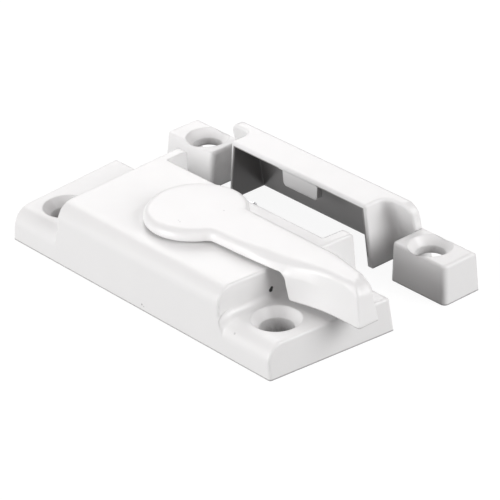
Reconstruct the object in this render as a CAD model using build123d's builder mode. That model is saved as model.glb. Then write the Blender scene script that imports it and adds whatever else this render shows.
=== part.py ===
from build123d import *
import os
from math import asin, cos, degrees, hypot, radians, sin, tan

# Sliding window lock: a die-cast housing with a swinging lever on top and a cam
# below, and the keeper that the cam pulls in. X runs along the meeting rail, Y
# points from the room to the keeper, Z is up. The origin lies midway between the
# housing's two screw holes, on the underside.

# Screws
screw_pitch = 57.15
screw_hole_r = 3.05
screw_head_r = 4.45
screw_head_angle = 82

# Housing outside
front_reach = 7.7
rear_reach = 18.8
ear_beyond_hole = 6.025
ear_flare = 2.4
ear_height = 6.3
block_to_head = 2.425
block_flare = 1.6
block_height = 12.0
front_draft = 2.2
rear_draft = 3.6
ear_end_draft = 6.0
block_end_draft = 4.0
front_round = 3.4
rear_round = 0.6
crisp_round = 0.45
foot_round = 1.5
lug_thickness = 2.2
lug_reach = 4.0
lug_foot = 1.0
lug_round = 0.8
lug_overlap = 3.0

# Housing inside
wall = 1.8
ceiling_z = 10.2
boss_r = 7.4
boss_z = 7.9
slot_half_width = 13.6
ear_pocket_z = 4.2
screw_boss_r = 5.8
cavity_round = 1.5
stop_r = 1.3
stop_circle_r = 10.4
stop_gap = 0.3

# Lever
pivot_y = 7.0
head_r = 9.4
lever_lift = 0.4
lever_thickness = 2.1
seat_r = 6.4
seat_gap = 0.08
shaft_r = 4.0
shaft_fit = 0.05
square_across = 5.6
arm_rear = 6.1
arm_front_neck = 4.1
arm_front_neck_x = 1.2
arm_front = 3.3
arm_front_x = 2.0
arm_rear_x = 2.0
neck_round = 1.5
grip_shares = (0.16, 0.385, 0.7)
grip_start_front = 2.8
grip_low_front = (2.05, 1.35, 1.1, 1.1)
grip_high_front = (1.4, 0.1, 0.0, 0.2)
grip_low_rear = 5.7
grip_low_rear_tip = 3.5
grip_high_rear_tip = 4.2
grip_depth = 7.1
tip_reach = 42.8
tip_draft = 16.0
nose_round = 3.0
grip_gap = 0.5
rim_round = 0.8
grip_foot_round = 0.2
grip_root_round = 1.0
root_overlap = 0.05
stake_r = 4.3
stake_height = 1.0

# Cam and spring washer
cam_thickness = 1.6
cam_hub_r = 7.4
cam_lead = 139.0
cam_trail = 97.0
cam_reach = 15.7
cam_lip = 1.4
lip_trail = 1.4
lip_lead = 0.9
square_fit = 0.03
spring_thickness = 0.4
spring_rise = 0.6
spring_gap = 0.05
throw = 135.0
cam_root_round = 1.5
lip_round = 0.4
spring_outer_r = 6.9
spring_inner_r = 4.3

# Keeper
keeper_y = 34.9
keeper_pitch = 60.0
keeper_ear_in = 5.8
keeper_ear_out = 8.0
keeper_ear_front = 4.45
keeper_ear_rear = 3.85
keeper_ear_height = 7.35
keeper_ear_draft = 5.0
keeper_front_draft = 4.7
keeper_hole_r = 2.75
keeper_head_r = 4.1
keeper_corner = 1.0
keeper_edge = 0.6
keeper_ear_top = 3.0
keeper_foot_height = 6.5
keeper_wall = 1.3
hood_wall = 0.95
hood_height = 12.3
notch_width = 4.85
hood_lean = 1.35
hood_front = 4.2
hood_round = 0.5
hood_side_round = 0.4
plate_overlap = 0.0
plate_rear_foot = 5.0
plate_rear_top = 2.6
plate_corner = 2.2
plate_thickness = 1.3
plate_swell = 0.6
notch_round = 2.0
tab_width = 9.5
tab_set_back = 0.65
tab_thickness = 1.2
tab_foot_z = 7.9
tab_taper = 0.25
tab_corner = 0.8

# Worked out from the values above
hole_x = screw_pitch / 2
keeper_hole_x = keeper_pitch / 2
ear_half_front = hole_x + ear_beyond_hole
ear_half_rear = ear_half_front + ear_flare
block_half_front = hole_x - screw_head_r - block_to_head
block_half_rear = block_half_front + block_flare
keeper_ear_inner = keeper_hole_x - keeper_ear_in
keeper_ear_outer = keeper_hole_x + keeper_ear_out
plate_half = keeper_ear_inner + plate_overlap
hood_half_foot = keeper_ear_inner - notch_width
hood_half_top = hood_half_foot - hood_lean
lever_bottom_z = block_height + lever_lift
lever_top_z = lever_bottom_z + lever_thickness
grip_bottom_z = lever_top_z - grip_depth
corner_half = block_half_front + (block_height - grip_bottom_z) * tan(radians(block_end_draft))
corner_reach = hypot(corner_half, pivot_y + front_reach)
grip_start = corner_reach + grip_gap
cam_top_z = boss_z - spring_rise - 2 * spring_gap
cam_bottom_z = cam_top_z - cam_thickness
stake_bottom_z = cam_bottom_z - stake_height
block_slope = (block_half_rear - block_half_front) / (front_reach + rear_reach)
ear_slope = (ear_half_rear - ear_half_front) / (front_reach + rear_reach)


def side_section(height):
    """Outline of the casting seen from its end, rounded along the top front edge."""
    with BuildSketch(Plane.YZ) as section:
        with BuildLine():
            Polyline(
                (-front_reach, 0),
                (rear_reach, 0),
                (rear_reach - height * tan(radians(rear_draft)), height),
                (-front_reach + height * tan(radians(front_draft)), height),
                close=True,
            )
        make_face()
        fillet(section.vertices().group_by(Axis.Y)[-1].sort_by(Axis.X)[0], front_round)
        fillet(section.vertices().group_by(Axis.Y)[-1].sort_by(Axis.X)[-1], rear_round)
    return section.sketch


def plan(half_front, slope, front_y, rear_y, corner=0.0):
    """Trapezoid seen from above whose ends open towards the rear."""
    near = half_front + (front_y + front_reach) * slope
    far = half_front + (rear_y + front_reach) * slope
    with BuildSketch() as outline:
        with BuildLine():
            Polyline((-near, front_y), (near, front_y), (far, rear_y), (-far, rear_y), close=True)
        make_face()
        if corner:
            fillet(outline.vertices(), corner)
    return outline.sketch


def ends(half_front, slope, height, draft):
    """Plan of a block's ends at its foot, running well past the casting in front and behind."""
    return plan(half_front + height * tan(radians(draft)), slope, -front_reach - 6, rear_reach + 10)


os.makedirs("parts", exist_ok=True)

# Housing forms: a low one with the two ears and a high one for the raised block
with BuildPart() as ear_form:
    extrude(side_section(ear_height), amount=ear_half_rear + 5, both=True)
    ear_ends = ends(ear_half_front, ear_slope, ear_height, ear_end_draft)
    extrude(ear_ends, amount=ear_height, taper=ear_end_draft, mode=Mode.INTERSECT)

with BuildPart() as block_form:
    extrude(side_section(block_height), amount=block_half_rear + 5, both=True)
    block_ends = ends(block_half_front, block_slope, block_height, block_end_draft)
    extrude(block_ends, amount=block_height, taper=block_end_draft, mode=Mode.INTERSECT)

# Lugs that run on from the block's ends to enter the keeper
with BuildPart() as lug_form:
    extrude(block_ends, amount=block_height, taper=block_end_draft)
    inner_half = block_half_front - lug_thickness
    extrude(plan(inner_half, block_slope, -front_reach - 6, rear_reach + 10), amount=block_height,
            mode=Mode.SUBTRACT)
    with Locations((0, rear_reach - lug_overlap, lug_foot)):
        Box(4 * block_half_rear, lug_overlap + lug_reach, block_height,
            align=(Align.CENTER, Align.MIN, Align.MIN), mode=Mode.INTERSECT)
    tips = lug_form.edges().filter_by(Axis.X, tolerance=2).group_by(Axis.Y)[-1]
    fillet(tips, lug_round)

# Concave foot where a block end meets its ear, carried over the ear's rounded front edge
round_axis_y = -front_reach + ear_height * tan(radians(front_draft)) + front_round
foot_sink = 0.02
foot_wall_x = (
    block_half_front
    + block_slope * (front_reach + round_axis_y)
    + (block_height - ear_height) * tan(radians(block_end_draft))
)
foot_side = foot_round - foot_sink
foot_x = foot_wall_x + foot_side * (1 - sin(radians(block_end_draft))) / cos(radians(block_end_draft))
foot_z = ear_height + foot_side
with BuildPart() as foot_form:
    with BuildSketch(Plane.XZ.offset(-round_axis_y)) as foot_section:
        with Locations((foot_x, foot_z)):
            Rectangle(foot_side + 1, foot_side + 1, align=(Align.MAX, Align.MAX))
            Circle(foot_round, mode=Mode.SUBTRACT)
    extrude(foot_section.sketch, amount=front_reach + rear_reach, dir=(block_slope, 1, 0))
    edge_axis = Axis((0, round_axis_y, ear_height - front_round), (1, 0, 0))
    revolve(foot_section.sketch, axis=edge_axis, revolution_arc=90)
    extrude(side_section(block_height), amount=block_half_rear + 5, mode=Mode.INTERSECT)

# Places of the two posts that stop the cam, seen from the pivot
post_half_angle = degrees(asin(stop_r / stop_circle_r) + stop_gap / stop_circle_r)
post_angles = (cam_lead + post_half_angle, cam_trail - throw - post_half_angle)
post_places = [
    (stop_circle_r * cos(radians(a)), pivot_y + stop_circle_r * sin(radians(a)), cam_bottom_z)
    for a in post_angles
]

with BuildPart() as housing:
    add(ear_form.part)
    add(block_form.part)
    add(lug_form.part)
    add(foot_form.part)
    add(foot_form.part.mirror(Plane.YZ))
    # Small rounding along the ends of the ears and of the block
    for top in (ear_height, block_height):
        at_top = housing.edges().filter_by(lambda e: abs(e.center().Z - top) < crisp_round / 4)
        along_ends = at_top.filter_by(lambda e: abs(e.tangent_at(0.5).Y) > 0.9)
        fillet(along_ends.sort_by(lambda e: abs(e.center().X))[-2:], crisp_round)
    # Hollow under the block, and the slot the cam reaches out through
    front_inside = -front_reach + block_height * tan(radians(front_draft)) + wall
    rear_inside = rear_reach - block_height * tan(radians(rear_draft)) - wall
    extrude(plan(block_half_front - wall, block_slope, front_inside, rear_inside, cavity_round),
            amount=ceiling_z, mode=Mode.SUBTRACT)
    with Locations((0, rear_inside - 3, 0)):
        Box(2 * slot_half_width, 10, ceiling_z, align=(Align.CENTER, Align.MIN, Align.MIN),
            mode=Mode.SUBTRACT)
    # Pocket behind each screw
    with BuildSketch() as pocket:
        add(plan(ear_half_front - wall, ear_slope, screw_boss_r + 1, rear_inside))
        add(plan(block_half_front + 2 * wall, block_slope, 0, rear_reach), mode=Mode.SUBTRACT)
        fillet(pocket.vertices(), 1.0)
    extrude(pocket.sketch, amount=ear_pocket_z, mode=Mode.SUBTRACT)
    # Boss around the shaft, stop posts, bore and screw holes
    with Locations((0, pivot_y, boss_z)):
        Cylinder(boss_r, ceiling_z - boss_z + 0.5, align=(Align.CENTER, Align.CENTER, Align.MIN))
    with Locations(post_places):
        Cylinder(stop_r, ceiling_z - cam_bottom_z + 0.5, align=(Align.CENTER, Align.CENTER, Align.MIN))
    with Locations((0, pivot_y, 0)):
        Cylinder(shaft_r + shaft_fit, 4 * block_height, mode=Mode.SUBTRACT)
    with Locations((-hole_x, 0, ear_height), (hole_x, 0, ear_height)):
        CounterSinkHole(screw_hole_r, screw_head_r, 3 * ear_height, screw_head_angle)

housing.part.label = "housing"
export_step(housing.part, "parts/housing.step")


def grip_level(z, front, rear, tip_x):
    """Outline of the grip at one height: a curved front, then tip, rear and inner end."""
    with BuildSketch(Plane.XY.offset(z)) as outline:
        with BuildLine():
            Spline(*front, tangents=((1, 0.2), (1, -0.05)))
            bend_x = grip_start + arm_rear_x
            Polyline(front[-1], (tip_x, rear[0]), (bend_x, rear[1]), (grip_start, rear[1]), front[0])
        make_face()
    return outline.sketch


def grip_edge(fronts, tip_x):
    """Points along the grip's front from its inner end to its tip, as set-backs in front of the pivot."""
    xs = [grip_start + share * (tip_reach - grip_start) for share in grip_shares] + [tip_x]
    return [(grip_start, pivot_y - grip_start_front)] + [(x, pivot_y - f) for x, f in zip(xs, fronts)]


tip_top_x = tip_reach - grip_depth * tan(radians(tip_draft))
grip_low = grip_level(
    grip_bottom_z,
    grip_edge(grip_low_front, tip_reach),
    (pivot_y + grip_low_rear_tip, pivot_y + grip_low_rear),
    tip_reach,
)
grip_high = grip_level(
    lever_top_z,
    grip_edge(grip_high_front, tip_top_x),
    (pivot_y + grip_high_rear_tip, pivot_y + arm_rear),
    tip_top_x,
)

# Lever: head, arm and hanging grip, with the shaft, square and staked end below
with BuildPart() as lever:
    with BuildSketch(Plane.XY.offset(lever_bottom_z)) as arm_plan:
        with Locations((0, pivot_y)):
            Circle(head_r)
        with BuildLine():
            Polyline(
                (0, pivot_y + arm_rear),
                (grip_start + arm_rear_x, pivot_y + arm_rear),
                (grip_start + arm_rear_x, pivot_y),
                (grip_start, pivot_y - grip_start_front),
                (grip_start - arm_front_x, pivot_y - arm_front),
                (head_r + arm_front_neck_x, pivot_y - arm_front_neck),
                (0, pivot_y - arm_front_neck),
                close=True,
            )
        make_face()
        neck = arm_plan.vertices().sort_by_distance((head_r, pivot_y - arm_front_neck))[0]
        fillet(neck, neck_round)
    extrude(arm_plan.sketch, amount=lever_thickness)
    add(loft([grip_low, grip_high]))
    nose = lever.edges().filter_by(Axis.Y).group_by(Axis.Z)[-1].sort_by(Axis.X)[-1]
    fillet(nose, nose_round)
    fillet(lever.faces().sort_by(Axis.Z)[-1].outer_wire().edges(), rim_round)
    fillet(lever.faces().sort_by(Axis.Z)[0].outer_wire().edges(), grip_foot_round)
    # Concave root where the grip hangs down from the arm
    with BuildSketch(Plane.XZ.offset(grip_start_front - pivot_y)) as root_section:
        with Locations((grip_start + root_overlap, lever_bottom_z + root_overlap)):
            Rectangle(grip_root_round + root_overlap, grip_root_round + root_overlap,
                      align=(Align.MAX, Align.MAX))
        with Locations((grip_start - grip_root_round, lever_bottom_z - grip_root_round)):
            Circle(grip_root_round, mode=Mode.SUBTRACT)
    extrude(root_section.sketch, amount=-grip_start_front - grip_low_rear + root_overlap)
    # Seat under the head, shaft, square for the cam, and the end staked over below it
    with Locations((0, pivot_y, block_height + seat_gap)):
        Cylinder(seat_r, lever_lift, align=(Align.CENTER, Align.CENTER, Align.MIN))
    with Locations((0, pivot_y, cam_top_z)):
        Cylinder(shaft_r, lever_bottom_z - cam_top_z + 0.5, align=(Align.CENTER, Align.CENTER, Align.MIN))
    with Locations((0, pivot_y, stake_bottom_z)):
        Box(square_across, square_across, cam_top_z - stake_bottom_z + 0.5,
            align=(Align.CENTER, Align.CENTER, Align.MIN))
        Cylinder(stake_r, stake_height, align=(Align.CENTER, Align.CENTER, Align.MIN))
    fillet(lever.faces().sort_by(Axis.Z)[0].outer_wire().edges(), 0.4)
lever.part.label = "lever"
export_step(lever.part, "parts/lever.step")


def around(radius, angle):
    """Point at an angle round the lever's pivot, in degrees."""
    return (radius * cos(radians(angle)), pivot_y + radius * sin(radians(angle)))


# Cam: a plate with a sector whose raised lip draws the keeper's tab in
cam_mid = (cam_trail + cam_lead) / 2
lip_inner_trail = cam_reach - lip_trail
lip_inner_lead = cam_reach - lip_lead
lip_inner_mid = (lip_inner_trail + lip_inner_lead) / 2
with BuildPart() as cam:
    with BuildSketch(Plane.XY.offset(cam_bottom_z)) as cam_plan:
        with Locations((0, pivot_y)):
            Circle(cam_hub_r)
        with BuildLine():
            Line((0, pivot_y), around(cam_reach, cam_trail))
            ThreePointArc(around(cam_reach, cam_trail), around(cam_reach, cam_mid),
                          around(cam_reach, cam_lead))
            Line(around(cam_reach, cam_lead), (0, pivot_y))
        make_face()
        roots = cam_plan.vertices().sort_by_distance((*around(cam_hub_r, cam_mid), cam_bottom_z))[0:2]
        fillet(roots, cam_root_round)
        with Locations((0, pivot_y)):
            Rectangle(square_across + 2 * square_fit, square_across + 2 * square_fit, mode=Mode.SUBTRACT)
    extrude(cam_plan.sketch, amount=cam_thickness)
    with BuildSketch(Plane.XY.offset(cam_top_z - 0.5)) as lip_plan:
        with BuildLine():
            Line(around(lip_inner_trail, cam_trail), around(cam_reach, cam_trail))
            ThreePointArc(around(cam_reach, cam_trail), around(cam_reach, cam_mid),
                          around(cam_reach, cam_lead))
            Line(around(cam_reach, cam_lead), around(lip_inner_lead, cam_lead))
            ThreePointArc(around(lip_inner_lead, cam_lead), around(lip_inner_mid, cam_mid),
                          around(lip_inner_trail, cam_trail))
        make_face()
    extrude(lip_plan.sketch, amount=cam_lip + 0.5)
    fillet(cam.faces().sort_by(Axis.Z)[-1].outer_wire().edges(), lip_round)
cam.part.label = "cam"
export_step(cam.part, "parts/cam.step")

# Dished washer that keeps the lever from rattling and gives it its drag
spring_low_z = cam_top_z + spring_gap
with BuildPart() as spring_washer:
    with BuildSketch(Plane.YZ) as spring_section:
        with BuildLine():
            Polyline(
                (pivot_y + spring_outer_r, spring_low_z),
                (pivot_y + spring_outer_r, spring_low_z + spring_thickness),
                (pivot_y + spring_inner_r, spring_low_z + spring_rise),
                (pivot_y + spring_inner_r, spring_low_z + spring_rise - spring_thickness),
                close=True,
            )
        make_face()
    revolve(spring_section.sketch, axis=Axis((0, pivot_y, 0), (0, 0, 1)))
spring_washer.part.label = "spring_washer"
export_step(spring_washer.part, "parts/spring_washer.step")


# Keeper
hood_front_y = keeper_y - hood_front
tab_front_y = hood_front_y + tab_set_back
plate_front_mid = keeper_y + (plate_rear_foot + plate_rear_top - plate_swell) / 2 - plate_thickness
ear_front_top = keeper_y - keeper_ear_front + keeper_ear_height * tan(radians(keeper_front_draft))
ear_outer_top = keeper_ear_outer - keeper_ear_height * tan(radians(keeper_ear_draft))


def hood_outline(inset, top):
    """Outline of the keeper's hood seen from the front, open at the foot."""
    foot = hood_half_foot - inset
    upper = hood_half_top - inset
    with BuildSketch(Plane.XZ.offset(-hood_front_y)) as outline:
        with BuildLine():
            Polyline((-foot, 0), (foot, 0), (upper, top), (-upper, top), close=True)
        make_face()
    return outline.sketch


def plate_outline(rear, front, top):
    """Outline of the leaning plate seen from its end, between two set-backs from its rear face."""
    lean = (plate_rear_foot - plate_rear_top) / hood_height * top
    swell = plate_swell / hood_height * top
    with BuildSketch(Plane.YZ) as outline:
        with BuildLine():
            Polyline(
                (keeper_y + plate_rear_foot - rear, 0),
                (keeper_y + plate_rear_foot - rear - lean, top),
                (keeper_y + plate_rear_foot - front - lean - swell, top),
                (keeper_y + plate_rear_foot - front, 0),
                close=True,
            )
        make_face()
    return outline.sketch


# Hood of the keeper: two side walls and the flange over them, cut off inside the plate
with BuildPart() as hood_form:
    extrude(hood_outline(0, hood_height), amount=-20)
    extrude(hood_outline(hood_wall, hood_height - hood_wall), amount=-20, mode=Mode.SUBTRACT)
    extrude(plate_outline(plate_thickness / 2, 20, hood_height), amount=60, both=True, mode=Mode.INTERSECT)

# One ear of the keeper, hollow from below and behind
with BuildPart() as keeper_ear:
    with BuildSketch(Plane.YZ) as ear_side:
        with BuildLine():
            Polyline(
                (keeper_y - keeper_ear_front, 0),
                (keeper_y + keeper_ear_rear, 0),
                (keeper_y + keeper_ear_rear, keeper_ear_height),
                (ear_front_top, keeper_ear_height),
                close=True,
            )
        make_face()
    extrude(ear_side.sketch, amount=keeper_ear_outer)
    with BuildSketch(Plane.XZ) as ear_front:
        with BuildLine():
            Polyline(
                (keeper_ear_inner, 0),
                (keeper_ear_outer, 0),
                (ear_outer_top, keeper_ear_height),
                (keeper_ear_inner, keeper_ear_height),
                close=True,
            )
        make_face()
    extrude(ear_front.sketch, amount=-60, mode=Mode.INTERSECT)
    front_corners = keeper_ear.edges().filter_by(lambda e: abs(e.center().Z - keeper_ear_height / 2) < 0.1)
    fillet(front_corners.filter_by(lambda e: e.center().Y < keeper_y), keeper_corner)
    fillet(keeper_ear.faces().sort_by(Axis.Z)[-1].outer_wire().edges(), keeper_edge)
    with Locations((keeper_ear_inner + keeper_wall, keeper_y - keeper_ear_front + keeper_wall + 0.5, 0)):
        Box(keeper_ear_outer - keeper_ear_inner - 2 * keeper_wall - 0.4, 20,
            keeper_ear_height - keeper_ear_top, align=(Align.MIN, Align.MIN, Align.MIN), mode=Mode.SUBTRACT)
    with Locations((keeper_hole_x, keeper_y, keeper_ear_height)):
        CounterSinkHole(keeper_hole_r, keeper_head_r, 2 * keeper_ear_height, screw_head_angle)

with BuildPart() as keeper:
    # Leaning plate across the back, with a wider foot that joins the ears
    extrude(plate_outline(0, plate_thickness, hood_height), amount=plate_half, both=True)
    top_ends = keeper.edges().filter_by(lambda e: e.center().Z > hood_height - 0.1)
    fillet(top_ends.filter_by(lambda e: abs(e.center().X) > plate_half - 0.1), plate_corner)
    foot_strip = plate_outline(0, plate_thickness, keeper_foot_height)
    extrude(foot_strip, amount=keeper_ear_inner + keeper_wall, both=True)
    add(hood_form.part)
    upright = keeper.edges().filter_by(lambda e: abs(e.center().Y - plate_front_mid) < 0.1)
    upright = upright.filter_by(lambda e: hood_half_top < abs(e.center().X) < hood_half_foot)
    fillet(upright, notch_round)
    hood_sides = keeper.edges().filter_by(lambda e: abs(e.center().Y - hood_front_y) < 0.01)
    hood_sides = hood_sides.filter_by(lambda e: hood_half_top < abs(e.center().X) < hood_half_foot)
    fillet(hood_sides, hood_side_round)
    brow = keeper.faces().sort_by(Axis.Z)[-1].edges().filter_by(Axis.X).sort_by(Axis.Y)[0]
    fillet(brow, hood_round)
    add(keeper_ear.part)
    add(keeper_ear.part.mirror(Plane.YZ))
    # Tab the cam catches behind
    with BuildSketch(Plane.XZ.offset(-tab_front_y)) as tab:
        with BuildLine():
            Polyline(
                (-tab_width / 2, hood_height - hood_wall / 2),
                (tab_width / 2, hood_height - hood_wall / 2),
                (tab_width / 2 - tab_taper, tab_foot_z),
                (-tab_width / 2 + tab_taper, tab_foot_z),
                close=True,
            )
        make_face()
        fillet(tab.vertices().group_by(Axis.Y)[0], tab_corner)
    extrude(tab.sketch, amount=-tab_thickness)
keeper.part.label = "keeper"
export_step(keeper.part, "parts/keeper.step")
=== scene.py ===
"""Looks of the sliding window lock: its paint, its plated inner pieces and the modelled lever.

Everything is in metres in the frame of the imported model. X runs along the meeting rail
towards the lever's tip, Y from the room towards the keeper, and Z is up.
"""

import math

import bmesh
import bpy
import numpy as np
from mathutils import Matrix


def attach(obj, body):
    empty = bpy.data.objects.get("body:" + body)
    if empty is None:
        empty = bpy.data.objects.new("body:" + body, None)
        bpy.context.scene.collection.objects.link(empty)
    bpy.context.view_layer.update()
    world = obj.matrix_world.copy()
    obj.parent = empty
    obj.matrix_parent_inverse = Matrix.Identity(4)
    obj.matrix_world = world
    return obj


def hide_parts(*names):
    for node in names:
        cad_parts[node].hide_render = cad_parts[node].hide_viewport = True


bl_info = {
    "name": "Sliding window lock",
    "version": (1, 0, 0),
    "blender": (4, 5, 0),
    "location": "3D View > Sidebar > Lock",
    "description": "Finishes the castings, models the lever and sets the stage of a window lock",
    "category": "Object",
}

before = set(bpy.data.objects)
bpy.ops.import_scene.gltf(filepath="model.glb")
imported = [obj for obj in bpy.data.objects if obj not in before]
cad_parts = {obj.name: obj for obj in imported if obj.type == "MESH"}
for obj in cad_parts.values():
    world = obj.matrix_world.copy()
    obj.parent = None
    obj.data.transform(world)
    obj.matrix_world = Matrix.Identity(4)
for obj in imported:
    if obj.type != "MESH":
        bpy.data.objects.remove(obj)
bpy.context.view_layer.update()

MM = 0.001

# The lever, in millimetres and degrees. Levels are heights above the rail.
PIVOT = np.array([0.0, 7.0])
TOP = 14.5  # level of its flat top
UNDER = 12.4  # level of the arm's underside
FOOT = 7.4  # level of the grip's foot
NECK = 2.2  # radius of the arc between the head and the arm's front edge
ARM_START = 10.0  # X where the neck ends and the arm begins
ARM_FRONT = 2.9  # Y of the arm's front edge there
ARM_REAR = 13.1  # Y of the arm's straight rear edge
GRIP_END = 37.6  # X where the tip begins
HEEL = (25.75, 26.75)  # X of the grip's inner wall, at the arm's underside and at the foot
HEEL_MIDDLE = 8.6  # Y of that wall's middle
TIP_LEAN = 14.5  # angle of the tip's end from upright
TIP_TAPER = 0.16  # how much the tip's rear edge draws in along it
CROWN = 0.22  # how far the top falls towards its edges

# Screw holes, in millimetres: X, Y, radius and the levels where the painted shade down the hole is
# darkest and where it has faded
HOUSING_HOLES = ((-28.575, 0.0, 3.1, 1.2, 3.8), (28.575, 0.0, 3.1, 1.2, 3.8))
KEEPER_HOLES = ((-30.0, 34.9, 2.8, 1.0, 6.5), (30.0, 34.9, 2.8, 1.0, 6.5))

# The room inside the keeper's hood, in millimetres
HOOD_LEAN = (0.113, 0.245, 0.0)  # how far its walls lean in for each millimetre of height
HOOD_MIDDLE = (0.0, 35.1, 5.6)
HOOD_HALF = (18.6, 3.7, 5.78)  # half its size
TAB = ((0.0, 32.0, 9.5), 5.0)  # middle of its tab, and the radius about it that the hood's painted shade leaves white

# Small marks in the paint, in millimetres: a point, a radius and a tone
HOUSING_MARKS = (
    ((22.7, 4.22, 8.2), 0.24, 0.02),
    ((22.7, 4.0, 7.87), 0.3, 0.02),
    ((25.6, -6.75, 4.87), 0.2, 0.6),
    ((1.6, -7.65, 1.15), 0.14, 0.4),
    ((2.1, -7.65, 0.95), 0.1, 0.5),
)
LEVER_MARKS = (
    ((4.78, 9.29, 14.5), 0.12, 0.6),
    ((1.8, 1.4, 14.4), 0.12, 0.62),
    ((2.4, 1.2, 14.35), 0.14, 0.6),
)

# The photograph's camera
VIEW_DIRECTION = (-40.186, 28.836)  # azimuth and elevation, in degrees
VIEW_ROLL = 2.393  # degrees
VIEW_DISTANCE = 0.52911  # metres
VIEW_SCALE = 5668.0  # pixels of a metre at that distance
VIEW_ORIGIN = (169.858, 291.613)  # pixel where the picture has the model's origin
PICTURE = 500  # width of the picture, in pixels
SENSOR = 36.0  # width of the sensor, in millimetres


# Shader expressions


def in_metres(point_mm):
    """A point given in millimetres, as a tuple in metres."""
    return tuple(v * MM for v in point_mm)


class Socket:
    """An output socket of a material, so that shader maths can be written as an expression."""

    def __init__(self, finish, socket):
        self.finish = finish
        self.socket = socket

    def using(self, operation, *values):
        """The result of a Math node that takes this socket and the values after it."""
        inputs = dict(enumerate((self, *values)))
        return self.finish.node("ShaderNodeMath", {"operation": operation}, inputs)

    def __add__(self, other):
        return self.using("ADD", other)

    def __mul__(self, other):
        return self.using("MULTIPLY", other)

    def __sub__(self, other):
        return self.using("SUBTRACT", other)

    def __rsub__(self, other):
        return self.using("MULTIPLY", -1.0) + other

    __radd__ = __add__
    __rmul__ = __mul__


class Finish:
    """A material with a Principled shader, and the one method that adds its other nodes."""

    def __init__(self, name, **constants):
        self.material = bpy.data.materials.new(name)
        self.material.use_nodes = True
        self.nodes = self.material.node_tree.nodes
        self.links = self.material.node_tree.links
        self.shader = self.nodes["Principled BSDF"]
        self.show(**constants)

    def feed(self, node, inputs):
        """Gives a node's sockets their values or their links."""
        for key, value in inputs.items():
            if isinstance(value, Socket):
                self.links.new(value.socket, node.inputs[key])
            else:
                node.inputs[key].default_value = value

    def node(self, kind, settings=None, inputs=None, output=0):
        """A new node of that type with its settings, then its inputs; gives one output of it."""
        made = self.nodes.new(kind)
        for key, value in (settings or {}).items():
            setattr(made, key, value)
        self.feed(made, inputs or {})
        return Socket(self, made.outputs[output])

    def vector(self, operation, *values, output=0):
        """The result of a Vector Math node on those values."""
        settings = {"operation": operation}
        return self.node("ShaderNodeVectorMath", settings, dict(enumerate(values)), output)

    def place(self):
        """Object coordinates, in metres."""
        return self.node("ShaderNodeTexCoord", output="Object")

    def noise(self, size_mm, detail=2.0, roughness=0.5):
        """Noise from 0 to 1 whose features are about that many millimetres across."""
        inputs = {
            "Vector": self.place(),
            "Scale": 1.0 / (size_mm * MM),
            "Detail": detail,
            "Roughness": roughness,
        }
        return self.node("ShaderNodeTexNoise", None, inputs, "Fac")

    def near(self, point_mm, radius_mm, soft_mm):
        """Mask that is 1 within radius of a point and falls to 0 over the soft distance."""
        away = self.vector("DISTANCE", self.place(), in_metres(point_mm), output="Value")
        return self.span(away, radius_mm * MM, (radius_mm + soft_mm) * MM, 1.0, 0.0)

    def height(self):
        """Height above the rail, in metres."""
        return self.node("ShaderNodeSeparateXYZ", None, {0: self.place()}, "Z")

    def span(self, value, low, high, at_low, at_high):
        """A value carried smoothly from one range into another, and held at its ends."""
        inputs = {
            "Value": value,
            "From Min": low,
            "From Max": high,
            "To Min": at_low,
            "To Max": at_high,
        }
        return self.node("ShaderNodeMapRange", {"interpolation_type": "SMOOTHSTEP"}, inputs)

    def column(self, x_mm, y_mm, radius_mm):
        """Mask that is 1 inside an upright cylinder and 0 just outside it."""
        flat = self.vector("MULTIPLY", self.place(), (1.0, 1.0, 0.0))
        away = self.vector("DISTANCE", flat, in_metres((x_mm, y_mm, 0.0)), output="Value")
        return self.span(away, (radius_mm - 0.1) * MM, (radius_mm + 0.1) * MM, 1.0, 0.0)

    def hollow(self, reach_mm):
        """How closed in a point is by its own casting: 0 in the open and 1 deep inside."""
        settings = {"samples": 6, "only_local": True}
        inputs = {"Distance": reach_mm * MM}
        return 1 - self.node("ShaderNodeAmbientOcclusion", settings, inputs, "AO")

    def in_hood(self):
        """Mask that is 1 on the inner faces of the keeper's hood and 0 on its outside and its rim.

        The end walls and the plate lean in, so what they lean at a point's height is added
        to it before it is compared with the hood's room.
        """
        lean = self.vector("MULTIPLY", HOOD_LEAN, self.height())
        upright = self.vector("ADD", self.vector("ABSOLUTE", self.place()), lean)
        away = self.vector("ABSOLUTE", self.vector("SUBTRACT", upright, in_metres(HOOD_MIDDLE)))
        past = self.vector("SUBTRACT", away, in_metres(HOOD_HALF))
        x, y, z = (self.node("ShaderNodeSeparateXYZ", None, {0: past}, axis) for axis in "XYZ")
        return self.span(x.using("MAXIMUM", y).using("MAXIMUM", z), 0.0, 0.3 * MM, 1.0, 0.0)

    def softened(self, radius_mm):
        """Normals that round every edge over, as a coat of paint does."""
        return self.node("ShaderNodeBevel", {"samples": 6}, {"Radius": radius_mm * MM})

    def blend(self, mask, colour, other):
        """Colour where the mask is 0 and the other where it is 1."""
        inputs = {"Factor": mask, "A": colour, "B": other}
        return self.node("ShaderNodeMix", {"data_type": "RGBA"}, inputs, "Result")

    def bump(self, height, strength, distance_mm, **normal):
        """A normal bent by a height from 0 to 1."""
        inputs = {"Height": height, "Strength": strength, "Distance": distance_mm * MM, **normal}
        return self.node("ShaderNodeBump", None, inputs)

    def show(self, **inputs):
        """Feeds the shader's own sockets, whose names are given with _ for each space."""
        self.feed(self.shader, {key.replace("_", " "): value for key, value in inputs.items()})
        return self.material


# Finishes


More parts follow.
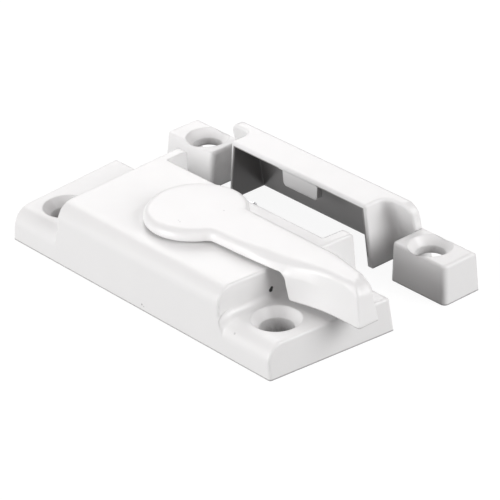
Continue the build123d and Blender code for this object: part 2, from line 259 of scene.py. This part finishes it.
def white_paint(name, tone, roughness, marks=(), holes=(), foot_mm=0.0, hood=False):
    """Semi-gloss white paint on a casting.

    It has a faint orange peel and a slow change of tone. Painted shade greys it in hollows,
    and in the screw holes, where grey metal shows in patches and painted shade deepens with
    depth, and a painted shadow line runs along the lowest edge, at foot_mm. With hood,
    painted shade darkens the inside of the keeper's hood, but for its tab.
    """
    paint = Finish(name, IOR=1.5)
    white = (tone, tone * 0.997, tone * 0.995, 1.0)
    greyer = (tone * 0.965, tone * 0.962, tone * 0.96, 1.0)
    # Grey of uncoated metal, also used below as the colour of painted shade and of a painted
    # shadow line
    metal = (0.3, 0.29, 0.29, 1.0)
    colour = paint.blend(paint.noise(9.0, 3.0), white, greyer)

    # Painted shade: the grey comes in where a point is about 0.4 closed in by its own casting
    patches = paint.noise(0.8, 4.0, 0.65)
    hollow_shade = (paint.hollow(7.0) - 0.4) * 1.25 * (0.8 + 0.3 * patches)
    colour = paint.blend(hollow_shade, colour, metal)
    if hood:
        # Painted shade inside the keeper's hood, left off around its tab
        dull = (0.19, 0.183, 0.183, 1.0)
        hood_shade_mask = paint.in_hood() * (1 - 0.9 * paint.near(*TAB, 1.2))
        colour = paint.blend(hood_shade_mask, colour, dull)
    height = paint.height()
    for x, y, radius, low, top in holes:
        # Painted shade down each screw hole, darker with depth, with grey metal showing in patches
        deep = paint.span(height, low * MM, top * MM, 0.95, 0.1)
        shaft = paint.column(x, y, radius) * deep * paint.span(patches, 0.4, 0.6, 0.6, 1.1)
        colour = paint.blend(shaft, colour, metal)
    # Painted shadow: a thin dark line just above the lowest edge, at foot_mm
    edge = paint.span(height, (foot_mm + 0.12) * MM, (foot_mm + 0.3) * MM, 0.6, 0.0)
    colour = paint.blend(edge, colour, metal)
    for point, radius, shade in marks:
        mark = paint.near(point, radius, radius * 0.6)
        colour = paint.blend(mark, colour, (shade, shade, shade, 1.0))

    peel = paint.noise(0.9, 1.0) * 0.6 + paint.noise(5.0, 1.0) * 0.4
    gloss = paint.noise(3.0, 2.0) * 0.1 + (roughness - 0.05)
    skin = paint.bump(peel, 0.15, 0.03, Normal=paint.softened(0.45))
    return paint.show(Base_Color=colour, Roughness=gloss, Normal=skin)


def zinc_plate(name):
    """Bright zinc plating: fine grain, with a slightly mottled tone."""
    plate = Finish(name, Metallic=1.0)
    mottle = plate.noise(2.5, 4.0, 0.6)
    colour = plate.blend(mottle, (0.74, 0.75, 0.77, 1.0), (0.6, 0.6, 0.62, 1.0))
    grain = plate.bump(plate.noise(0.25), 0.2, 0.01)
    return plate.show(Base_Color=colour, Roughness=mottle * 0.15 + 0.28, Normal=grain)


def zinc_casting(name):
    """Bare cast zinc: a dull grey with fine grain and darker patches."""
    metal = Finish(name, Metallic=0.9)
    patches = metal.noise(1.8, 3.0, 0.6)
    colour = metal.blend(patches, (0.6, 0.6, 0.61, 1.0), (0.45, 0.45, 0.47, 1.0))
    grain = metal.bump(metal.noise(0.2, 2.0), 0.25, 0.015)
    return metal.show(Base_Color=colour, Roughness=patches * 0.2 + 0.42, Normal=grain)


def spring_steel(name):
    """Dull blue-grey spring steel."""
    steel = Finish(name, Metallic=1.0)
    colour = steel.blend(steel.noise(1.5, 3.0), (0.36, 0.37, 0.4, 1.0), (0.26, 0.27, 0.3, 1.0))
    return steel.show(Base_Color=colour, Roughness=steel.noise(0.8) * 0.2 + 0.3)


def pale_floor(name, tone):
    """Pale floor that the camera and the reflections see near white, with the shadow kept."""
    floor = Finish(name, Roughness=0.9, Base_Color=(tone, tone, tone, 1.0), Emission_Strength=1.0)
    seen = floor.node("ShaderNodeLightPath", output="Is Camera Ray")
    mirrored = floor.node("ShaderNodeLightPath", output="Is Glossy Ray")
    # It shines by what it lacks of white once it has thrown back the lamps' light
    glow = 1.0 - 0.8 * tone
    mask = seen.using("MAXIMUM", mirrored)
    white = floor.blend(mask, (0.0, 0.0, 0.0, 1.0), (glow, glow, glow, 1.0))
    return floor.show(Emission_Color=white)


def dress(node, material):
    """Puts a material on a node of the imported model."""
    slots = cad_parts[node].data.materials
    slots.clear()
    slots.append(material)


# Shapes


def mesh_of(name, points, faces, material):
    """A smooth mesh object from arrays, with doubles merged and faces turned outwards."""
    mesh = bpy.data.meshes.new(name)
    mesh.from_pydata(points.tolist(), [], faces.tolist())
    work = bmesh.new()
    work.from_mesh(mesh)
    bmesh.ops.remove_doubles(work, verts=work.verts, dist=0.002 * MM)
    bmesh.ops.dissolve_degenerate(work, edges=work.edges, dist=0.0001 * MM)
    bmesh.ops.recalc_face_normals(work, faces=work.faces)
    work.to_mesh(mesh)
    work.free()
    mesh.shade_smooth()
    mesh.materials.append(material)
    made = bpy.data.objects.new(name, mesh)
    bpy.context.scene.collection.objects.link(made)
    return made


def grid_faces(rows, columns):
    """Quads of a grid of rows by columns whose last row joins its first."""
    column = np.arange(columns - 1)[None, :]
    here = np.arange(rows)[:, None] * columns + column
    there = np.roll(here, -1, axis=0)
    return np.stack([here, there, there + 1, here + 1], -1).reshape(-1, 4)


def rounded_run(corners, radii, steps, ends):
    """Rounded polylines, one for each row.

    corners is rows by points by 2, and radii is rows by inner points. Each inner corner is
    replaced by an arc of its radius. The arc starts before the corner by the radius times
    the tangent of half the turn, its centre lies square to the first side at the radius,
    and its points go evenly from the first side's normal to the second's. steps gives the
    points of each arc, and ends gives those of each straight stretch.
    """
    sides = np.diff(corners, axis=1)
    sides = sides / np.linalg.norm(sides, axis=2, keepdims=True)
    normals = np.stack([-sides[..., 1], sides[..., 0]], -1)
    pieces = []
    start = corners[:, 0]
    for i in range(radii.shape[1]):
        corner, radius = corners[:, i + 1], radii[:, i]
        a, b = sides[:, i], sides[:, i + 1]
        turn = np.arctan2(a[:, 0] * b[:, 1] - a[:, 1] * b[:, 0], (a * b).sum(1))
        first = corner - a * (radius * np.tan(np.abs(turn) / 2))[:, None]
        inward = np.where(turn < 0, -1.0, 1.0)[:, None] * normals[:, i]
        centre = first + inward * radius[:, None]
        t = np.linspace(0, 1, ends[i] + 1)[:-1][None, :, None]
        pieces.append(start[:, None] * (1 - t) + first[:, None] * t)
        from_angle = np.arctan2(-inward[:, 1], -inward[:, 0])
        angle = from_angle[:, None] + turn[:, None] * np.linspace(0, 1, steps[i])
        around = np.stack([np.cos(angle), np.sin(angle)], -1)
        arc = centre[:, None] + radius[:, None, None] * around
        pieces.append(arc)
        start = arc[:, -1]
    t = np.linspace(0, 1, ends[-1] + 1)[1:][None, :, None]
    pieces.append(start[:, None] * (1 - t) + corners[:, -1][:, None] * t)
    return np.concatenate(pieces, axis=1)


def through(stations, places, values):
    """Smooth values at the stations: a monotone cubic through the given places.

    Each place's slope is the harmonic mean of the slopes on its two sides, or 0 where they
    differ in sign, so the curve never overshoots. Past the ends it keeps the end's value.
    """
    x, y = np.array(places, float), np.array(values, float)
    gap = np.diff(x)
    rise = np.diff(y) / gap
    slope = np.zeros_like(y)
    same = rise[:-1] * rise[1:] > 0
    slope[1:-1][same] = (2 * rise[:-1] * rise[1:])[same] / (rise[:-1] + rise[1:])[same]
    slope[0], slope[-1] = rise[0], rise[-1]
    i = np.clip(np.searchsorted(x, stations) - 1, 0, len(gap) - 1)
    t = (np.clip(stations, x[0], x[-1]) - x[i]) / gap[i]
    level = (1 + 2 * t) * (1 - t) ** 2 * y[i] + t * t * (3 - 2 * t) * y[i + 1]
    bend = t * (1 - t) ** 2 * slope[i] + t * t * (t - 1) * slope[i + 1]
    return level + bend * gap[i]


def half_sections(spine, turn, top, foot, low, top_round, low_round, stand=0.0):
    """A set of the lever's half-sections, one for each row.

    spine is a row's point on the spine and turn the direction in which it runs out. top
    and foot are its reach at the lever's top and at its lower level, low. top_round and
    low_round are the radii of its edges, and stand is how upright its side stands.
    """
    values = dict(
        turn=turn,
        top=top,
        foot=foot,
        low=low,
        top_round=top_round,
        low_round=low_round,
        stand=stand,
    )
    return {"spine": spine, **{key: np.broadcast_to(v, len(spine)) for key, v in values.items()}}


def join_sections(*groups):
    """One set of half-sections out of several, in order."""
    return {key: np.concatenate([group[key] for group in groups]) for key in groups[0]}


def reversed_sections(sections):
    """The same half-sections in the opposite order."""
    return {key: value[::-1] for key, value in sections.items()}


def fan(spine, edge, top_round):
    """Half-sections at the arm's level, from spine points out to points of the outline."""
    away = edge - spine
    reach = np.linalg.norm(away, axis=1)
    turn = np.arctan2(away[:, 1], away[:, 0])
    return half_sections(spine, turn, reach, reach, UNDER, top_round, 0.15)


def lever_profile():
    """The lever's underside along X, as places and heights.

    It is flat under the arm, turns down the grip's leaning inner wall and runs out along
    its foot: a polyline with rounded corners.
    """
    corners = [[ARM_START, UNDER], [HEEL[0], UNDER], [HEEL[1], FOOT], [GRIP_END, FOOT]]
    run = rounded_run(np.array([corners]), np.array([[1.0, 1.1]]), (9, 9), (44, 9, 56))
    return run[0, :, 0], run[0, :, 1]


def lever_sides(x, low):
    """Half-sections of the arm and grip, front and rear, at the places of the lever's profile.

    The outline at the top and the one at the grip's foot are smooth curves through a few
    places. In the rear, where the underside is higher than the foot, the section ends on
    the straight line between the two. In front, the side goes down to the foot's curve,
    and near the heel it stands upright from the arm's level down.
    """
    spine_y = through(x, [ARM_START, 20, 27, 33, GRIP_END], [8.0, 8.4, 9.0, 9.6, 9.3])
    front_top = through(
        x,
        [ARM_START, 14, 18, 22, 26, 28, 31, 35, 38],
        [ARM_FRONT, 3.1, 3.75, 4.65, 5.5, 6.0, 6.75, 7.3, 7.3],
    )
    front_foot = through(
        x,
        [ARM_START, 24, 27, 31.4, 34.4, 37.9, 42],
        [ARM_FRONT, 3.66, 4.2, 5.23, 5.72, 5.92, 5.94],
    )
    upright = through(x, [ARM_START, 26, 28.5, 31.5, 34.5, 42], [1.0, 1.0, 0.6, 0.15, 0.0, 0.0])
    rear_top = through(x, [ARM_START, 28.5, 31, 38], [ARM_REAR, ARM_REAR, 12.85, 11.7])
    rear_foot = through(x, [ARM_START, 27, 29.5, 38], [ARM_REAR, 12.7, 12.5, 11.25])
    depth = np.clip((TOP - low) / (TOP - FOOT), 0, 1)
    spine = np.stack([x, spine_y], 1)
    low_round = np.where(low < UNDER - 2.0, 0.25, 0.15)
    front = half_sections(
        spine,
        turn=-np.pi / 2,
        top=spine_y - front_top,
        foot=spine_y - front_foot,
        low=low,
        top_round=through(x, [ARM_START, 16, 22, 26, 31, 39], [1.5, 1.6, 2.4, 2.0, 1.2, 1.0]),
        low_round=low_round,
        stand=upright * np.clip(UNDER - low, 0, 1),
    )
    rear = half_sections(
        spine,
        turn=np.pi / 2,
        top=rear_top - spine_y,
        foot=rear_top + (rear_foot - rear_top) * depth - spine_y,
        low=low,
        top_round=through(x, [ARM_START, 30, 39], [0.8, 0.8, 1.1]),
        low_round=low_round,
    )
    return front, rear


def neck_and_head(radius, arm_spine):
    """Half-sections of the head and its neck, and where the straight rear edge meets the head.

    The neck is an arc that touches the head's circle and the arm's front edge, and its
    sections fan out from the line between the pivot and the arm's spine. The head is a
    disc, with a wide soft edge towards the room.
    """
    rise = ARM_FRONT - NECK - PIVOT[1]
    hub = PIVOT + np.array([math.sqrt((radius + NECK) ** 2 - rise**2), rise])
    leave = math.atan2(rise, hub[0] - PIVOT[0])
    angle = np.linspace(leave + math.pi, math.pi / 2, 18)
    bend = hub + NECK * np.stack([np.cos(angle), np.sin(angle)], 1)
    run_in = np.stack([np.linspace(hub[0], ARM_START, 6), np.full(6, ARM_FRONT)], 1)
    edge = np.concatenate([bend, run_in[1:-1]])[1:]
    # Along the spine, the neck's points start just off the pivot and end just before the arm's
    along = np.linalg.norm(np.diff(edge, axis=0), axis=1).cumsum()
    t = (np.concatenate([[0.0], along]) + 0.12)[:, None] / (along[-1] + 0.3)
    neck = fan(PIVOT * (1 - t) + arm_spine * t, edge, 1.4 + 0.1 * t[:, 0])

    meet = math.asin((ARM_REAR - PIVOT[1]) / radius)
    turn = np.linspace(leave, meet - 2 * np.pi, 170)
    rim = PIVOT + radius * np.stack([np.cos(turn), np.sin(turn)], 1)
    soft = 0.8 + 0.8 * np.clip(-np.sin(turn), 0, 1) ** 0.5
    head = fan(np.broadcast_to(PIVOT, rim.shape), rim, soft)
    return neck, head, rim[-1]


def lever_shoulder(meet, arm_spine):
    """Half-sections from the head's rear junction to the start of the straight rear edge."""
    t = np.linspace(0, 1, 14)[1:-1][:, None]
    edge = meet * (1 - t) + np.array([ARM_START, ARM_REAR]) * t
    return fan(PIVOT * (1 - t) + arm_spine * t, edge, 0.8)


def tip_outline(out, rear, front, corner):
    """Angles and distances, seen from the spine's end, of the tip's outline at one level.

    The outline runs out along the rear edge, draws in by the taper on the way, crosses the
    end and comes back along the front edge, and both of its corners are rounded.
    """
    corners = [[0.0, rear], [out, rear - TIP_TAPER * out], [out, -front], [0.0, -front]]
    radii = np.full((1, 2), corner)
    run = rounded_run(np.array([corners]), radii, (20, 20), (12, 20, 12))[0]
    return np.arctan2(run[:, 1], run[:, 0]), np.linalg.norm(run, axis=1)


def lever_tip(front, rear, reach):
    """Half-sections of the tip, fanned out from the spine's end between the last two sides.

    Its end leans, so the outline reaches less far at the top than at the foot. Its top
    edge is softest where it faces out along the lever.
    """
    hub = front["spine"][-1]
    out = reach - hub[0]
    lean = (TOP - FOOT) * math.tan(math.radians(TIP_LEAN))
    turn, foot = tip_outline(out, rear["foot"][-1], front["foot"][-1], 0.35)
    top_turn, top = tip_outline(out - lean, rear["top"][-1], front["top"][-1], 0.8)
    turn, foot = turn[1:-1], foot[1:-1]
    side_round = np.where(turn > 0, rear["top_round"][-1], front["top_round"][-1])
    return half_sections(
        np.broadcast_to(hub, (len(turn), 2)),
        turn=turn,
        top=np.interp(-turn, -top_turn, top),
        foot=foot,
        low=FOOT,
        top_round=side_round + (2.9 - side_round) * np.clip(np.cos(turn), 0, 1) ** 2,
        low_round=0.25,
    )


def place_sections(rows):
    """Turns half-sections into points: the spine point plus each reach along its direction.

    Each side has a waist just above the arm's underside, and lower on the grip, where the
    side leans. It lies between the straight line from top to foot, where stand is 0, and
    the foot's own reach, where stand is 1, and there it is widely rounded. The top is
    slightly crowned: it falls by the crown times the fourth power of the share of the way
    out, less and less down the side.
    """
    level, stand = rows["low"], rows["stand"]
    hang = np.clip(UNDER - level, 0, 1)
    waist_level = UNDER + 0.3 * (1 - hang) - 0.8 * hang * (1 - stand)
    straight = (TOP - waist_level) / (TOP - level)
    waist = rows["top"] + (rows["foot"] - rows["top"]) * (straight + (1 - straight) * stand)
    waist_round = 0.3 + 2.7 * hang * stand
    zero, top = np.zeros_like(level), np.full_like(level, TOP)
    reach = np.stack([zero, rows["top"], waist, rows["foot"], zero], 1)
    height = np.stack([top, top, waist_level, level, level], 1)
    radii = np.stack([rows["top_round"], waist_round, rows["low_round"]], 1)
    run = rounded_run(np.stack([reach, height], -1), radii, (14, 5, 5), (12, 5, 9, 6))

    reach, height = run[..., :1], run[..., 1:]
    high = (height - level[:, None, None]) / (TOP - level)[:, None, None]
    out = np.minimum(reach / rows["top"][:, None, None], 1.0)
    across = np.stack([np.cos(rows["turn"]), np.sin(rows["turn"])], 1)
    plan = rows["spine"][:, None, :] + across[:, None, :] * reach
    return np.concatenate([plan, height - CROWN * out**4 * high], -1)


def soften_heel(points):
    """Rounds the upright edges of the grip's inner end.

    Near the inner wall each side draws in along a quarter circle, times the square of the
    share of the way out from the wall's middle to that side. It does so by and by below
    the arm's underside. Front and rear are given as a sign, a radius and the side's Y.
    """
    x, y, z = points[..., 0], points[..., 1], points[..., 2]
    wall = HEEL[0] + (UNDER - z) * ((HEEL[1] - HEEL[0]) / (UNDER - FOOT))
    fade = np.clip((UNDER - 0.1 - z) / 0.8, 0, 1)
    for side, radius, edge in ((-1, 0.6, 4.2), (1, 0.8, 12.7)):
        short = np.clip(radius - (x - wall), 0, radius) * fade
        inset = radius - np.sqrt(radius**2 - short**2)
        share = np.clip((y - HEEL_MIDDLE) / (edge - HEEL_MIDDLE), 0, 1)
        y = y - side * inset * share**2
    return np.stack([x, y, z], -1)


def lever_surface(head_radius, tip_reach):
    """Points and faces of the lever's body, for a head radius and a tip's X in millimetres.

    The surface is one closed grid. A row is a half-section from the spine's top over the
    rounded edge and down the side to the spine's bottom, and the rows go once round the
    outline. Rows in the head fan out from the pivot, so it is a disc, rows at the tip fan
    out from the spine's end, and rows between them stand square to the spine.
    """
    front, rear = lever_sides(*lever_profile())
    arm_spine = front["spine"][0]
    neck, head, meet = neck_and_head(head_radius, arm_spine)
    shoulder = lever_shoulder(meet, arm_spine)
    tip = lever_tip(front, rear, tip_reach)
    rows = join_sections(
        reversed_sections(front), reversed_sections(neck), head, shoulder, rear, tip
    )
    points = soften_heel(place_sections(rows))
    return points.reshape(-1, 3) * MM, grid_faces(*points.shape[:2])


def post_surface():
    """Points and faces of the post below the lever's head.

    It is the seat, the shaft, the square for the cam and the staked end. A profile of
    reaches and heights in millimetres is carried round the pivot. Where its third value is
    1 the post is square: the reach in each direction is the half width over the twelfth
    root of the sum of the twelfth powers of the direction's parts, a square with soft
    corners.
    """
    profile = np.array(
        [
            [0.0, 12.5, 0],
            [6.3, 12.5, 0],
            [6.4, 12.4, 0],
            [6.4, 12.2, 0],
            [6.28, 12.08, 0],
            [4.15, 12.08, 0],
            [4.0, 11.95, 0],
            [4.0, 7.25, 0],
            [3.95, 7.2, 0],
            [2.85, 7.2, 1],
            [2.8, 7.15, 1],
            [2.8, 5.6, 1],
            [4.0, 5.6, 0],
            [4.24, 5.5, 0],
            [4.3, 5.25, 0],
            [4.26, 4.95, 0],
            [4.05, 4.72, 0],
            [3.7, 4.6, 0],
            [1.6, 4.6, 0],
            [1.1, 4.75, 0],
            [0.0, 4.85, 0],
        ]
    )
    angle = np.linspace(0, 2 * np.pi, 97)[:-1][:, None]
    across = np.stack([np.cos(angle), np.sin(angle)], -1)
    square = (np.abs(across) ** 12).sum(-1) ** (-1 / 12)
    reach = profile[:, 0] * (1 + (square - 1) * profile[:, 2])
    plan = PIVOT + across * reach[..., None]
    height = np.broadcast_to(profile[:, 1], reach.shape)
    points = np.concatenate([plan, height[..., None]], -1)
    return points.reshape(-1, 3) * MM, grid_faces(*reach.shape)


# Lamps and camera


def facing(direction):
    """Right, up and back, as rows, of what faces the lock from an azimuth and elevation.

    Both are in degrees, and azimuth turns from +X towards +Y. Back is the direction itself,
    right lies level and square to it, and up is square to both.
    """
    azimuth, elevation = (math.radians(v) for v in direction)
    level = math.cos(elevation)
    back = [math.cos(azimuth) * level, math.sin(azimuth) * level, math.sin(elevation)]
    right = [-math.sin(azimuth), math.cos(azimuth), 0.0]
    return np.array([right, np.cross(back, right), back])


def put(name, data, rows, place):
    """A lamp or camera at a place in metres, turned to its rows of right, up and back."""
    made = bpy.data.objects.new(name, data)
    made.matrix_world = Matrix.Translation(place) @ Matrix(rows.T.tolist()).to_4x4()
    bpy.context.scene.collection.objects.link(made)
    return made


def add_lamp(name, power, size, direction, distance):
    """A square area lamp that faces the lock from a direction. Size and distance in metres."""
    lamp = bpy.data.lights.new(name, "AREA")
    lamp.energy = power
    lamp.size = size
    rows = facing(direction)
    put(name, lamp, rows, rows[2] * distance)


def set_camera():
    """The camera at the photograph's angle, with the model's origin where the picture has it.

    Its rows are turned by the roll about the way it looks, and it stands off the origin by
    what the origin lies from the picture's middle.
    """
    roll = math.radians(VIEW_ROLL)
    c, s = math.cos(roll), math.sin(roll)
    rows = np.array([[c, -s, 0], [s, c, 0], [0, 0, 1]]) @ facing(VIEW_DIRECTION)
    middle = PICTURE / 2
    aside = (middle - VIEW_ORIGIN[0]) / VIEW_SCALE
    above = (VIEW_ORIGIN[1] - middle) / VIEW_SCALE
    data = bpy.data.cameras.new("photo_view")
    data.sensor_width = SENSOR
    data.lens = SENSOR * VIEW_SCALE * VIEW_DISTANCE / PICTURE
    data.clip_start = 0.01
    data.clip_end = 20.0
    place = rows.T @ np.array([aside, above, VIEW_DISTANCE])
    bpy.context.scene.camera = put("photo_view", data, rows, place)


# What a user may change


class LockFinish(bpy.types.PropertyGroup):
    """The castings' white paint"""

    tone: bpy.props.FloatProperty(
        name="Paint tone",
        description="How light the white paint is",
        default=0.82,
        min=0.0,
        max=1.0,
        subtype="FACTOR",
    )
    roughness: bpy.props.FloatProperty(
        name="Paint roughness",
        description="Roughness of the paint, from gloss to matt",
        default=0.32,
        min=0.0,
        max=1.0,
        subtype="FACTOR",
    )


class LeverShape(bpy.types.PropertyGroup):
    """The lever's main sizes"""

    head_radius: bpy.props.FloatProperty(
        name="Head radius",
        description="Radius of the lever's round head",
        default=9.4 * MM,
        unit="LENGTH",
        subtype="DISTANCE",
    )
    tip_reach: bpy.props.FloatProperty(
        name="Tip reach",
        description="Distance from the pivot to the tip, along the lever",
        default=42.73 * MM,
        unit="LENGTH",
        subtype="DISTANCE",
    )


class StageSettings(bpy.types.PropertyGroup):
    """The floor and the light"""

    floor_tone: bpy.props.FloatProperty(
        name="Floor tone",
        description="How much of the light the floor throws back",
        default=0.1,
        min=0.0,
        max=1.0,
        subtype="FACTOR",
    )
    front_power: bpy.props.FloatProperty(
        name="Front lamp",
        description="Power of the large low lamp in front of the lock",
        default=15.8,
        unit="POWER",
    )
    side_power: bpy.props.FloatProperty(
        name="Side lamp",
        description="Power of the lamp off the lever's tip",
        default=4.3,
        unit="POWER",
    )
    rear_power: bpy.props.FloatProperty(
        name="Rear lamp",
        description="Power of the lamp behind the lock, off its plain end",
        default=2.1,
        unit="POWER",
    )
    fill: bpy.props.FloatProperty(
        name="Fill",
        description="Strength of the even light from all round",
        default=0.2,
        min=0.0,
    )


# Operators


class LOCK_OT_finish_castings(bpy.types.Operator):
    """Paint the housing and the keeper"""

    bl_idname = "lock.finish_castings"
    bl_label = "Paint castings"

    def execute(self, context):
        finish = context.scene.lock_finish
        look = (finish.tone, finish.roughness)
        dress("housing", white_paint("housing_paint", *look, HOUSING_MARKS, HOUSING_HOLES))
        dress("keeper", white_paint("keeper_paint", *look, holes=KEEPER_HOLES, hood=True))
        return {"FINISHED"}


class LOCK_OT_finish_works(bpy.types.Operator):
    """Plate the cam and finish the spring washer"""

    bl_idname = "lock.finish_works"
    bl_label = "Finish inner pieces"

    def execute(self, context):
        dress("cam", zinc_plate("cam_plating"))
        dress("spring_washer", spring_steel("washer_steel"))
        return {"FINISHED"}


class LOCK_OT_model_lever(bpy.types.Operator):
    """Model the lever's head, arm and hanging grip, and the post below its head"""

    bl_idname = "lock.model_lever"
    bl_label = "Model lever"

    def execute(self, context):
        finish, shape = context.scene.lock_finish, context.scene.lock_lever
        look = (finish.tone, finish.roughness)
        paint = white_paint("lever_paint", *look, LEVER_MARKS, foot_mm=FOOT)
        surface = lever_surface(shape.head_radius / MM, shape.tip_reach / MM)
        lever = mesh_of("lever_body", *surface, paint)
        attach(lever, "lever")
        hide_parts("lever")

        post = mesh_of("lever_post", *post_surface(), zinc_casting("post_zinc"))
        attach(post, "lever")
        return {"FINISHED"}


class LOCK_OT_set_stage(bpy.types.Operator):
    """Set the floor, the lamps and the camera"""

    bl_idname = "lock.set_stage"
    bl_label = "Set stage"

    def execute(self, context):
        scene = context.scene
        settings = scene.lock_stage
        scene.view_settings.view_transform = "Standard"

        reach = 3.0
        corners = reach * np.array([[-1, -1, 0], [1, -1, 0], [1, 1, 0], [-1, 1, 0]])
        white = pale_floor("floor_white", settings.floor_tone)
        mesh_of("floor", corners, np.array([[0, 1, 2, 3]]), white)

        world = bpy.data.worlds.new("studio")
        scene.world = world
        world.use_nodes = True
        sky = world.node_tree.nodes["Background"]
        sky.inputs["Color"].default_value = (1.0, 0.93, 0.935, 1.0)
        sky.inputs["Strength"].default_value = settings.fill

        add_lamp("front_lamp", settings.front_power, 0.8, (-106.0, 14.0), 1.2)
        add_lamp("side_lamp", settings.side_power, 0.5, (24.0, 25.0), 0.7)
        add_lamp("rear_lamp", settings.rear_power, 0.45, (150.0, 35.0), 0.7)
        set_camera()
        return {"FINISHED"}


class LOCK_PT_panel(bpy.types.Panel):
    """The lock's pieces and stage"""

    bl_idname = "LOCK_PT_panel"
    bl_label = "Sliding window lock"
    bl_space_type = "VIEW_3D"
    bl_region_type = "UI"
    bl_category = "Lock"

    def draw(self, context):
        scene = context.scene
        for group, names in (
            (scene.lock_finish, ("tone", "roughness")),
            (scene.lock_lever, ("head_radius", "tip_reach")),
            (scene.lock_stage, ("floor_tone", "front_power", "side_power", "rear_power", "fill")),
        ):
            for name in names:
                self.layout.prop(group, name)
        for operator in OPERATORS:
            self.layout.operator(operator.bl_idname)


OPERATORS = (
    LOCK_OT_finish_castings,
    LOCK_OT_finish_works,
    LOCK_OT_model_lever,
    LOCK_OT_set_stage,
)
GROUPS = {"lock_finish": LockFinish, "lock_lever": LeverShape, "lock_stage": StageSettings}
CLASSES = (*GROUPS.values(), *OPERATORS, LOCK_PT_panel)


def register():
    """Registers the classes and hangs each group of properties on the scene."""
    for cls in CLASSES:
        bpy.utils.register_class(cls)
    for name, cls in GROUPS.items():
        setattr(bpy.types.Scene, name, bpy.props.PointerProperty(type=cls))


def unregister():
    """Takes back what register did."""
    for name in GROUPS:
        delattr(bpy.types.Scene, name)
    for cls in reversed(CLASSES):
        bpy.utils.unregister_class(cls)


def main():
    """Makes the whole model."""
    register()
    bpy.ops.lock.finish_castings()
    bpy.ops.lock.finish_works()
    bpy.ops.lock.model_lever()
    bpy.ops.lock.set_stage()


if __name__ == "__main__":
    main()
